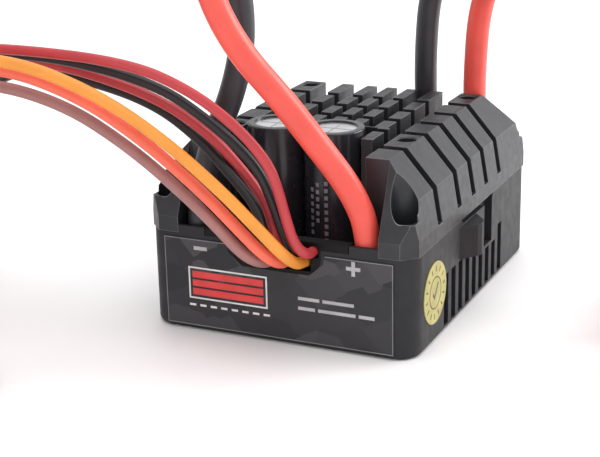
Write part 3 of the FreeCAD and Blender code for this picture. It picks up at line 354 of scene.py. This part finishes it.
# Routes from the board to the plug, in millimetres.
LEADS = {
    "battery_wire_red": [
        (11.7, -20.9, 5.6), (11.7, -20.9, 14.8), (10.1, -22.3, 20.6), (6.7, -24.7, 26.6),
        (3.0, -27.0, 32.7), (-0.7, -28.6, 37.5), (-3.0, -29.8, 42.1), (-4.1, -30.8, 46.5),
        (-7.0, -32.2, 52.6), (-13.2, -34.6, 57.8), (-22.6, -37.8, 60.4), (-33.4, -41.2, 58.6),
        (-43.6, -44.6, 53.0), (-52.6, -47.6, 44.6), (-59.6, -50.0, 34.8), (-64.6, -51.0, 25.2),
        (-67.6, -51.0, 15.7), (-69.6, -46.7, 8.3), (-70.0, -39.3, 4.0), (-70.0, -31.0, 4.0)],
    "battery_wire_black": [
        (-11.7, -20.9, 5.6), (-11.7, -20.9, 14.4), (-10.9, -21.3, 19.4), (-9.0, -21.2, 25.2),
        (-6.6, -20.5, 30.8), (-5.0, -20.1, 37.4), (-5.2, -20.6, 45.2), (-9.2, -22.0, 53.2),
        (-17.6, -24.6, 59.6), (-29.0, -28.4, 62.6), (-41.0, -32.8, 60.8), (-52.0, -37.6, 54.8),
        (-61.0, -42.4, 46.2), (-67.8, -46.8, 35.8), (-72.6, -49.8, 25.4), (-76.0, -50.4, 15.4),
        (-77.8, -46.0, 8.1), (-78.0, -38.7, 4.0), (-78.0, -31.0, 4.0)],
    "motor_wire_black": [
        (4.6, 18.3, 5.6), (4.6, 18.3, 17.4), (4.2, 18.4, 28.4), (4.9, 18.7, 38.8), (9.0, 18.9, 47.6),
        (17.0, 18.9, 53.2), (26.8, 18.4, 53.4), (35.4, 17.2, 48.2), (41.0, 15.2, 39.6),
        (43.6, 12.8, 29.8), (44.4, 10.6, 21.0), (44.6, 9.6, 13.4), (44.6, 5.6, 6.6), (44.6, -1.4, 2.6),
        (44.6, -8.6, 2.6)],
    "motor_wire_red": [
        (11.8, 18.3, 5.6), (11.8, 18.3, 17.0), (11.7, 18.1, 27.4), (12.6, 17.6, 37.2),
        (17.0, 15.2, 45.4), (24.6, 10.8, 49.0), (32.2, 5.0, 46.4), (36.8, -0.8, 39.2),
        (39.6, -5.6, 30.2), (40.4, -9.0, 21.4), (40.2, -10.9, 13.4), (40.2, -7.0, 6.5),
        (40.2, 0.0, 2.6), (40.2, 5.4, 2.6)],
    "servo_wire_brown": [
        (-0.3, -17.6, 5.0), (-0.3, -17.6, 8.2), (-0.3, -19.8, 10.7), (-0.3, -22.8, 11.2),
        (-0.5, -25.6, 11.3), (-1.9, -28.0, 12.9), (-4.7, -29.2, 16.6), (-8.9, -29.4, 20.3),
        (-16.1, -29.8, 25.7), (-24.3, -30.8, 30.5), (-34.6, -32.0, 32.8), (-44.0, -33.2, 31.2),
        (-50.8, -36.4, 26.2), (-55.2, -41.0, 19.4), (-56.4, -46.4, 12.4), (-54.6, -50.0, 6.4),
        (-50.0, -52.3, 2.4), (-45.0, -52.84, 1.3), (-40.2, -52.84, 1.3)],
    "servo_wire_red": [
        (1.7, -17.6, 5.0), (1.7, -17.6, 8.2), (1.7, -19.8, 10.7), (1.7, -22.8, 11.2),
        (1.6, -25.6, 11.5), (0.5, -28.0, 13.5), (-2.2, -29.3, 17.0), (-6.4, -29.9, 21.2),
        (-13.6, -30.8, 27.1), (-21.6, -32.0, 32.1), (-31.6, -33.4, 35.2), (-41.2, -34.8, 34.2),
        (-48.2, -37.6, 29.2), (-53.0, -41.6, 22.0), (-54.2, -46.0, 14.2), (-52.8, -48.6, 7.4),
        (-49.0, -50.0, 2.9), (-44.6, -50.3, 1.3), (-40.2, -50.3, 1.3)],
    "servo_wire_orange": [
        (3.7, -17.6, 5.0), (3.7, -17.6, 8.2), (3.7, -19.8, 10.7), (3.7, -22.8, 11.2),
        (3.8, -25.5, 11.7), (3.2, -28.2, 13.9), (1.0, -29.8, 17.2), (-3.4, -30.8, 21.9),
        (-10.4, -31.8, 27.8), (-18.1, -33.2, 32.8), (-28.0, -34.8, 36.4), (-37.8, -36.4, 36.4),
        (-45.2, -38.4, 31.8), (-50.4, -41.4, 24.8), (-52.0, -44.8, 17.0), (-51.4, -46.5, 9.8),
        (-48.4, -47.5, 4.2), (-44.2, -47.76, 1.3), (-40.2, -47.76, 1.3)],
    "fan_wire_red": [
        (1.9, -15.0, 5.0), (1.9, -15.0, 9.8), (1.9, -18.6, 12.5), (1.9, -22.6, 12.75),
        (1.9, -25.2, 12.9), (0.6, -25.2, 16.5), (-0.7, -24.6, 19.1), (-2.7, -24.9, 22.1),
        (-7.2, -25.9, 27.3), (-14.3, -26.6, 31.5), (-27.2, -26.2, 34.2), (-37.4, -24.8, 34.2),
        (-46.0, -22.0, 30.4), (-51.4, -18.4, 23.8), (-52.8, -15.0, 15.8), (-52.9, -13.4, 7.8),
        (-52.9, -15.0, 3.6), (-52.9, -18.6, 1.3), (-52.9, -22.6, 1.3)],
    "fan_wire_black": [
        (0.4, -15.0, 5.0), (0.4, -15.0, 9.8), (0.4, -18.6, 12.5), (0.4, -22.6, 12.75),
        (0.2, -25.6, 12.9), (0.2, -26.9, 16.4), (-0.8, -26.8, 19.2), (-3.8, -26.3, 22.0),
        (-9.2, -25.2, 26.5), (-15.7, -25.2, 30.4), (-27.4, -24.6, 32.6), (-37.0, -22.8, 32.2),
        (-44.4, -20.4, 28.0), (-49.0, -17.2, 21.4), (-50.3, -14.6, 14.2), (-50.36, -13.4, 7.6),
        (-50.36, -15.0, 3.6), (-50.36, -18.6, 1.3), (-50.36, -22.6, 1.3)],
    "switch_wire_red": [
        (5.0, -15.0, 5.0), (5.0, -15.0, 9.8), (5.0, -18.6, 12.5), (5.0, -22.6, 12.75),
        (5.2, -25.2, 12.9), (4.2, -26.6, 14.6), (3.3, -26.9, 17.9), (2.5, -27.1, 21.4),
        (1.4, -27.4, 24.7), (-2.2, -28.0, 28.9), (-7.5, -29.2, 33.1), (-15.4, -29.8, 36.0),
        (-31.6, -29.6, 36.6), (-42.0, -28.8, 35.8), (-51.0, -26.6, 31.4), (-57.4, -23.4, 24.6),
        (-60.8, -20.0, 16.8), (-61.4, -17.8, 9.6), (-61.5, -19.4, 5.4), (-61.5, -23.2, 3.0),
        (-61.5, -27.6, 3.0)],
    "switch_wire_black": [
        (3.4, -15.0, 5.0), (3.4, -15.0, 9.8), (3.4, -18.6, 12.5), (3.4, -22.6, 12.75),
        (3.3, -25.3, 12.9), (2.4, -26.1, 16.1), (1.1, -26.0, 19.7), (-0.7, -26.4, 24.1),
        (-6.6, -26.9, 29.1), (-13.2, -28.0, 33.4), (-27.0, -28.0, 35.6), (-38.2, -27.2, 35.2),
        (-47.4, -25.4, 30.8), (-53.8, -22.6, 23.8), (-57.4, -19.6, 16.2), (-58.4, -17.8, 9.6),
        (-58.5, -19.4, 5.4), (-58.5, -23.2, 3.0), (-58.5, -27.6, 3.0)],
}
# Diameter, finish, slot, far end and the pieces on it.
LEAD_FACTS = {
    "battery_wire_red": (POWER, "silicone_red", "silicone_red", "plug", BATTERY_PLUG),
    "battery_wire_black": (POWER, "silicone_black", "silicone_black", "plug", BATTERY_PLUG),
    "motor_wire_black": (POWER, "silicone_black", "silicone_black", "connector",
                         ["motor_bullet_black", "motor_bullet_sleeve_black"]),
    "motor_wire_red": (POWER, "silicone_red", "silicone_red", "connector",
                       ["motor_bullet_red", "motor_bullet_sleeve_red"]),
    "servo_wire_brown": (SERVO, "pvc_brown", "wire_brown", "plug", SERVO_PLUG),
    "servo_wire_red": (SERVO, "pvc_red", "wire_red", "plug", SERVO_PLUG),
    "servo_wire_orange": (SERVO, "pvc_orange", "wire_orange", "plug", SERVO_PLUG),
    "fan_wire_red": (THIN, "thin_red", "thin_red", "plug", FAN_PLUG),
    "fan_wire_black": (THIN, "thin_black", "thin_black", "plug", FAN_PLUG),
    "switch_wire_red": (THIN, "thin_red", "thin_red", "fitting", SWITCH),
    "switch_wire_black": (THIN, "thin_black", "thin_black", "fitting", SWITCH),
}


def make_lead(node):
    """A smooth tube along the route's points."""
    diameter, finish, slot, far_end, pieces = LEAD_FACTS[node]
    points = LEADS[node]
    data = bpy.data.curves.new(node.replace("wire", "lead"), "CURVE")
    data.dimensions = "3D"
    data.resolution_u = STEPS_ALONG
    data.bevel_depth = diameter / 2 * MM
    data.bevel_resolution = STEPS_AROUND
    data.use_fill_caps = True
    spline = data.splines.new("NURBS")
    spline.points.add(len(points) - 1)
    for point, place in zip(spline.points, points):
        point.co = (*(part * MM for part in place), 1.0)
    spline.order_u = 3
    spline.use_endpoint_u = True
    data.materials.append(MATERIALS[finish])
    lead = bpy.data.objects.new(data.name, data)
    SCENE.collection.objects.link(lead)
    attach(lead, BODY)
    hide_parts(node)


for wire in LEADS:
    make_lead(wire)


# ---- printed marks -----------------------------------------------------------
# Outlines are in millimetres across and up the surface that carries them.

INK = 0.02


def box_mm(node):
    low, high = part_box(node)
    return Vector(low) / MM, Vector(high) / MM


LABEL_LOW, LABEL_HIGH = box_mm("front_label")
STICKER_LOW, STICKER_HIGH = box_mm("inspection_sticker")


def on_label(across, up, lift):
    return Vector((across, LABEL_LOW.y - lift, up))


def on_sticker(across, up, lift):
    middle = (STICKER_LOW + STICKER_HIGH) / 2
    return Vector((STICKER_HIGH.x + lift, middle.y + across, middle.z + up))


def on_can(side):
    """Places round a capacitor; across runs anticlockwise from its -Y line."""
    low, high = box_mm("capacitor_sleeve_" + side)
    radius = (high.x - low.x) / 2
    middle = (low + high) / 2

    def place(across, up, lift):
        angle = across / radius - math.pi / 2
        return Vector((middle.x + (radius + lift) * math.cos(angle),
                       middle.y + (radius + lift) * math.sin(angle), up))
    return place


def on_disc(side):
    """Places on a capacitor's flat top, from its centre."""
    low, high = box_mm("capacitor_can_" + side)
    middle = (low + high) / 2

    def place(across, up, lift):
        return Vector((middle.x + across, middle.y + up, high.z + lift))
    return place


def bar(left, foot, right, top):
    return [(left, foot), (right, foot), (right, top), (left, top)]


def ring(radius, width, steps=40):
    """Short pieces of a ring, each a four-sided outline."""
    pieces = []
    for step in range(steps):
        first, last = (math.radians(360 * part / steps) for part in (step, step + 1))
        outer = radius + width
        corners = ((radius, first), (outer, first), (outer, last), (radius, last))
        pieces.append([(reach * math.cos(angle), reach * math.sin(angle)) for reach, angle in corners])
    return pieces


def make_print(name, outlines, place, finish):
    """Thin closed prisms of ink standing on a surface."""
    shape = bmesh.new()
    for outline in outlines:
        under, over = [[shape.verts.new(place(across, up, lift) * MM) for across, up in outline]
                       for lift in (0.0, INK)]
        shape.faces.new(under)
        shape.faces.new(over)
        for corner in range(len(outline)):
            after = (corner + 1) % len(outline)
            shape.faces.new((under[corner], under[after], over[after], over[corner]))
    bmesh.ops.recalc_face_normals(shape, faces=shape.faces)
    data = bpy.data.meshes.new(name)
    shape.to_mesh(data)
    shape.free()
    data.materials.append(MATERIALS[finish])
    piece = bpy.data.objects.new(name, data)
    SCENE.collection.objects.link(piece)
    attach(piece, BODY)
    return piece


def print_label():
    """A boxed panel of bars, rows of dashes, polarity marks and a thin pale band along the label's
    edges.
    """
    left, right, foot, top, line = -12.3, -1.2, 4.4, 8.7, 0.22
    notch_side = 6.7
    frame_bars = [bar(left, foot + line, left + line, top - line),
                  bar(right - line, foot + line, right, top - line),
                  bar(left, foot, right, foot + line), bar(left, top - line, right, top)]
    dash, pitch = 0.9, 1.5
    dashes = [bar(left + pitch * step, 3.4, left + dash + pitch * step, 3.7) for step in range(8)]
    make_print("label_emblem_frame", frame_bars + dashes, on_label, "print_white")
    emblem = [bar(left + 0.55, level, right - 0.55, level + 0.9) for level in (4.95, 6.1, 7.25)]
    make_print("label_emblem_bars", emblem, on_label, "print_red")
    rows = [bar(3.0, 6.25, 5.9, 6.7), bar(6.3, 6.25, 10.5, 6.7),
            bar(3.0, 4.95, 5.3, 5.4), bar(5.7, 4.95, 10.7, 5.4), bar(11.1, 4.95, 13.2, 5.4)]
    marks = [bar(-11.4, 11.0, -9.5, 11.5), bar(9.5, 11.0, 11.4, 11.5),
             bar(10.2, 11.5, 10.7, 12.2), bar(10.2, 10.3, 10.7, 11.0)]
    make_print("label_rows_and_marks", rows + marks, on_label, "print_pale")
    edge = 0.12
    west, south, east, north = LABEL_LOW.x, LABEL_LOW.z, LABEL_HIGH.x, LABEL_HIGH.z
    sides = [bar(west, south, east, south + edge), bar(west, south + edge, west + edge, north),
             bar(east - edge, south + edge, east, north),
             bar(west + edge, north - edge, -notch_side, north),
             bar(notch_side, north - edge, east - edge, north)]
    make_print("label_pale_border", sides, on_label, "print_grey")


def print_sticker():
    """A ringed tick inside a ring of short strokes."""
    tick = [[(-1.0, -0.1), (-0.7, 0.15), (-0.3, -0.35), (0.9, 1.2), (1.15, 1.0), (-0.3, -0.85)]]
    count, first_turn, half_stroke, inner, outer = 14, 8, 0.11, 2.75, 3.45
    strokes = []
    for step in range(count):
        middle = math.radians(360 / count * step + first_turn)
        along = Vector((math.cos(middle), math.sin(middle)))
        side = Vector((-along.y, along.x)) * half_stroke
        strokes.append([tuple(along * reach + side * way) for reach, way in
                        ((inner, -1), (outer, -1), (outer, 1), (inner, 1))])
    make_print("sticker_marks", ring(1.95, 0.16) + tick + strokes, on_sticker, "print_brown")


def print_capacitors():
    """Pale rating strokes, the stripe of the negative side and painted shade in the vent score on the
    tops.
    """
    columns = [(-1.9, 11.5, 17.6), (-1.0, 13.2, 18.2), (0.2, 10.6, 18.6)]
    width, tall, pitch = 0.5, 0.55, 0.95
    strokes = []
    for across, foot, top in columns:
        height = foot
        while height < top:
            strokes.append(bar(across, height, across + width, height + tall))
            height += pitch
    make_print("capacitor_rating_right", strokes, on_can("right"), "print_grey")
    stripe = [bar(-6.4 + width * step, 7.0, -5.9 + width * step, 24.3) for step in range(5)]
    make_print("capacitor_stripe_left", stripe, on_can("left"), "print_grey")
    # Painted shade: dark strokes on each top stand in for the shadow inside the vent score.
    reach, half = 2.4, 0.07
    score = [bar(-reach, -half, reach, half), bar(-half, half, half, reach),
             bar(-half, -reach, half, -half)]
    for side in ("left", "right"):
        make_print("capacitor_vent_painted_shade_" + side, score, on_disc(side), "vent_score_painted_shade")


print_label()
print_sticker()
print_capacitors()


# ---- stage and light ---------------------------------------------------------

FLOOR_SIZE = 6.0
FLOOR_WHITE = (0.93, 0.93, 0.935)
WORLD_STRENGTH = 0.85


def make_stage():
    bpy.ops.mesh.primitive_plane_add(size=FLOOR_SIZE)
    floor = bpy.context.object
    floor.name = "floor"
    finish = Finish("floor_white", FLOOR_WHITE, 0.55)
    finish.mottle(FLOOR_WHITE, 0.01, 400.0)
    floor.data.materials.append(finish.done())


def add_softbox(name, place, aim, side, power):
    """A square area light; places and sides in metres, power in watts."""
    data = bpy.data.lights.new(name, "AREA")
    data.shape = "RECTANGLE"
    data.size = side
    data.size_y = side
    data.energy = power
    light = bpy.data.objects.new(name, data)
    light.location = place
    light.rotation_euler = (Vector(aim) - Vector(place)).to_track_quat("-Z", "Y").to_euler()
    SCENE.collection.objects.link(light)


def make_lights():
    world = bpy.data.worlds.new("studio")
    world.use_nodes = True
    background = world.node_tree.nodes["Background"]
    background.inputs["Color"].default_value = (1.0, 1.0, 1.0, 1.0)
    background.inputs["Strength"].default_value = WORLD_STRENGTH
    SCENE.world = world
    add_softbox("key_softbox", place=(0.05, 0.0, 0.8), aim=(0.0, 0.0, 0.0), side=0.9, power=4.2)
    add_softbox("side_softbox", place=(0.6, 0.5, 0.3), aim=(0.0, 0.0, 0.01), side=0.5, power=5.5)
    SCENE.view_settings.view_transform = "Standard"
    SCENE.view_settings.look = "None"


make_stage()
make_lights()
